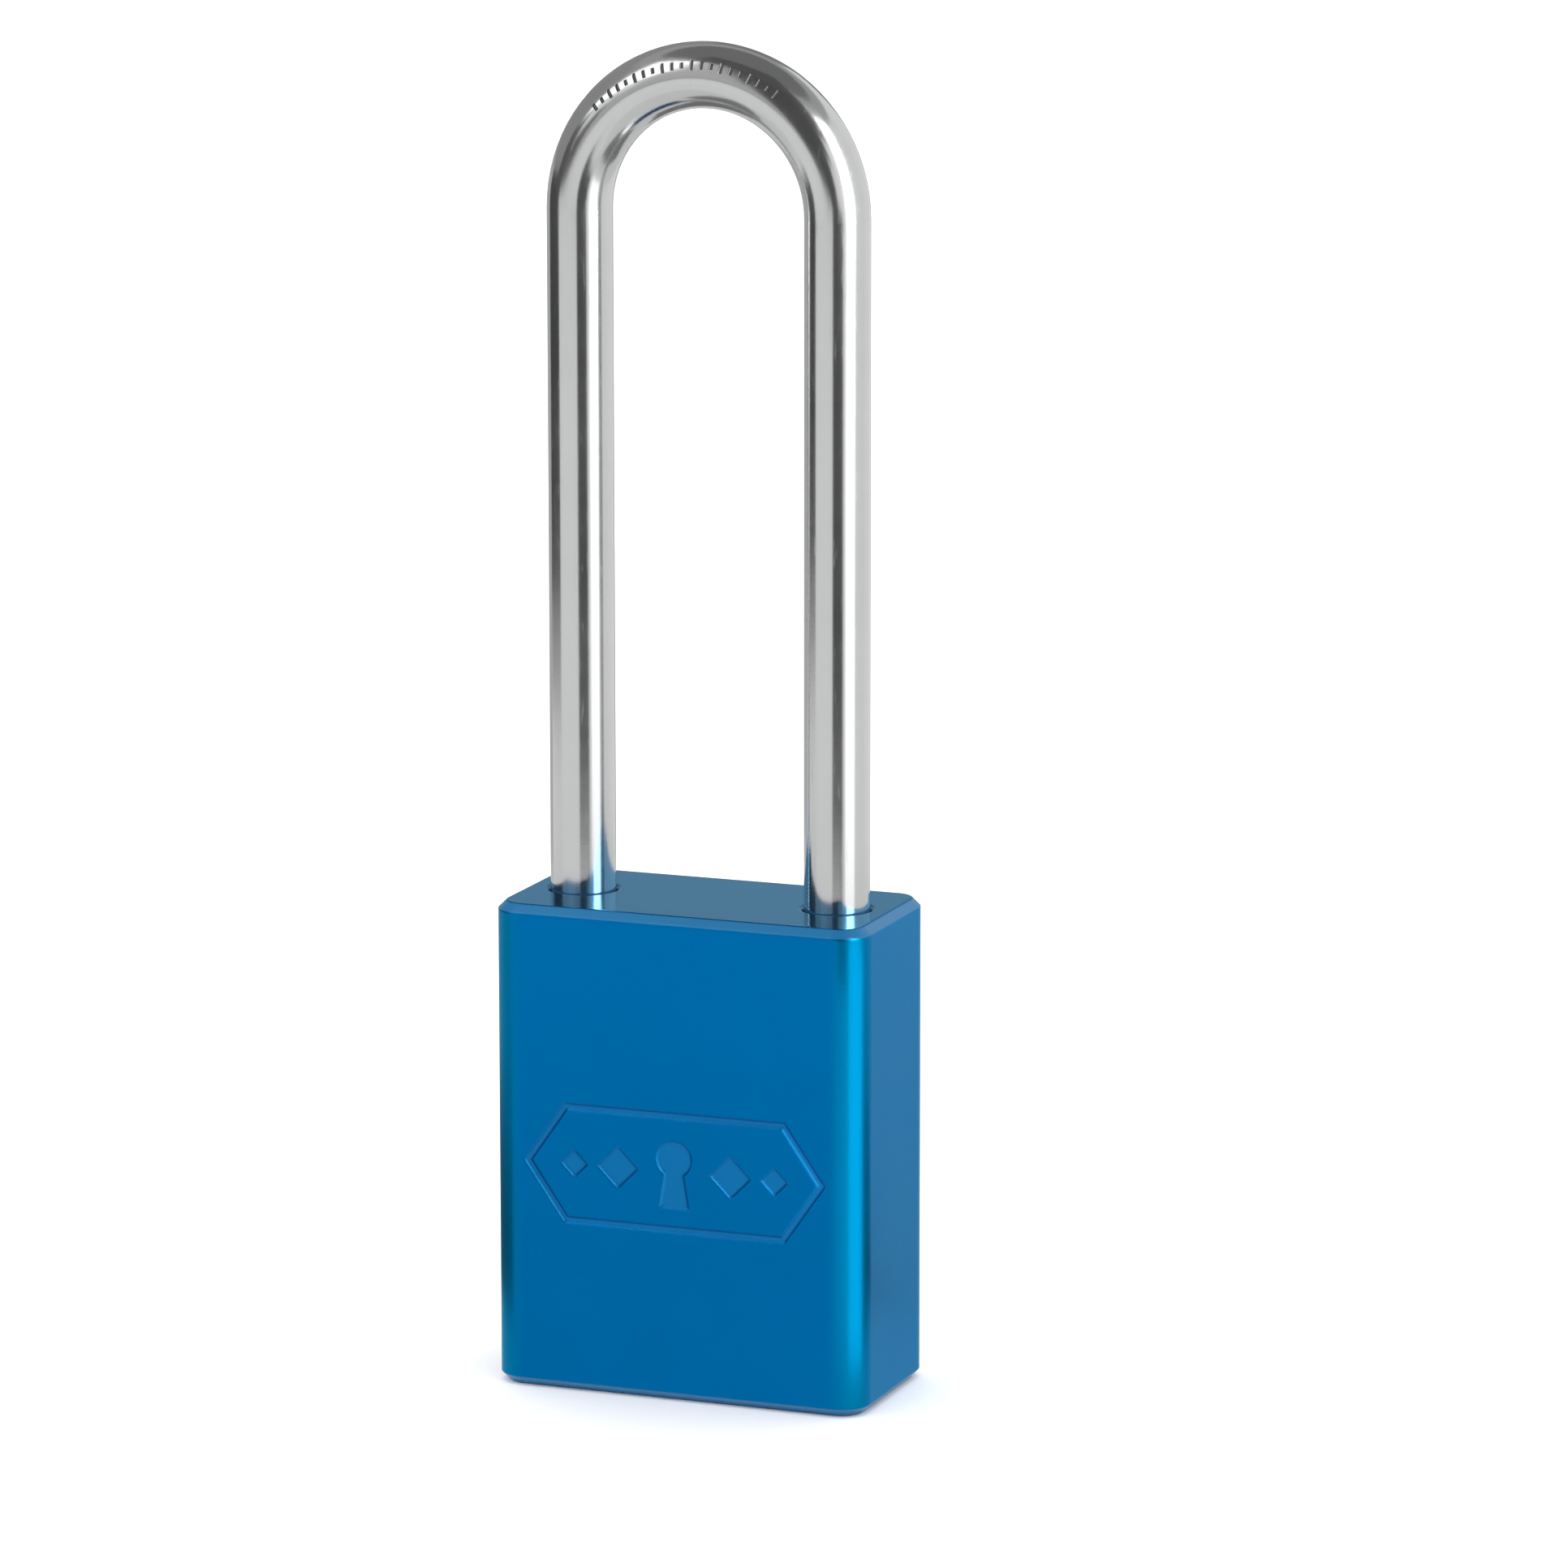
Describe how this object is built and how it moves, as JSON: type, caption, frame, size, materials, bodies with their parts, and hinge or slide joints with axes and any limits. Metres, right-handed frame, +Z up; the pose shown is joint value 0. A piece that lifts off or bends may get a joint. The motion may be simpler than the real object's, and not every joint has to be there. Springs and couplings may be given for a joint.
{
  "type": "padlock",
  "caption": "Solid-case padlock with a tall bright steel shackle that lifts, a pin-tumbler cylinder in the base and balls that lock both shackle legs.",
  "frame": {"origin": "middle of the case's flat bottom face", "axes": "+Z up along the shackle legs, +X towards the toe leg (the one that comes out), -Y the front face"},
  "size_m": [0.0382, 0.019, 0.1302],
  "materials": {
    "case_blue": "blue anodised, satin",
    "shackle_steel": "bright polished",
    "spring_steel": "drawn spring wire and strip",
    "ball_steel": "ground and polished",
    "actuator_metal": "machined",
    "shell_brass": "machined",
    "plug_brass": "turned",
    "cover_brass": "pressed strip",
    "screw_steel": "black oxide",
    "pin_brass": "turned",
    "driver_metal": "turned, nickel silver colour"
  },
  "bodies": {
    "lock_body": {"case": "case_blue", "cylinder_shell": "shell_brass", "chamber_cover": "cover_brass", "cylinder_screw": "screw_steel", "shackle_spring": "spring_steel", "driver_pin_1": "driver_metal", "driver_pin_2": "driver_metal", "driver_pin_3": "driver_metal", "driver_pin_4": "driver_metal", "driver_pin_5": "driver_metal", "pin_spring_1": "spring_steel", "pin_spring_2": "spring_steel", "pin_spring_3": "spring_steel", "pin_spring_4": "spring_steel", "pin_spring_5": "spring_steel"},
    "shackle": {"shackle": "shackle_steel"},
    "plug": {"plug": "plug_brass", "plug_clip": "spring_steel", "key_pin_1": "pin_brass", "key_pin_2": "pin_brass", "key_pin_3": "pin_brass", "key_pin_4": "pin_brass", "key_pin_5": "pin_brass"},
    "actuator": {"actuator": "actuator_metal"},
    "toe_ball": {"toe_ball": "ball_steel"},
    "heel_ball": {"heel_ball": "ball_steel"}
  },
  "joints": [
    {"name": "shackle_lift", "type": "slide", "parent": "lock_body", "child": "shackle", "axis": [0, 0, 1], "range_m": [0, 0.0145], "deforming": ["shackle_spring"]},
    {"name": "plug_turn", "type": "hinge", "parent": "lock_body", "child": "plug", "pos_m": [0, 0, 0], "axis": [0, 0, 1], "range_deg": [-90, 0]},
    {"name": "actuator_turn", "type": "hinge", "parent": "lock_body", "child": "actuator", "pos_m": [0, 0, 0.04], "axis": [0, 0, 1], "range_deg": [-90, 0]},
    {"name": "toe_ball_slide", "type": "slide", "parent": "lock_body", "child": "toe_ball", "axis": [1, 0, 0], "range_m": [0, 0.00155]},
    {"name": "heel_ball_slide", "type": "slide", "parent": "lock_body", "child": "heel_ball", "axis": [-1, 0, 0], "range_m": [0, 0.000825]}
  ],
  "couplings": [
    {"joint": "actuator_turn", "follows": "plug_turn", "ratio": 1},
    {"joint": "toe_ball_slide", "follows": "plug_turn", "m_per_rad": -0.000986},
    {"joint": "heel_ball_slide", "follows": "plug_turn", "m_per_rad": -0.000525}
  ]
}
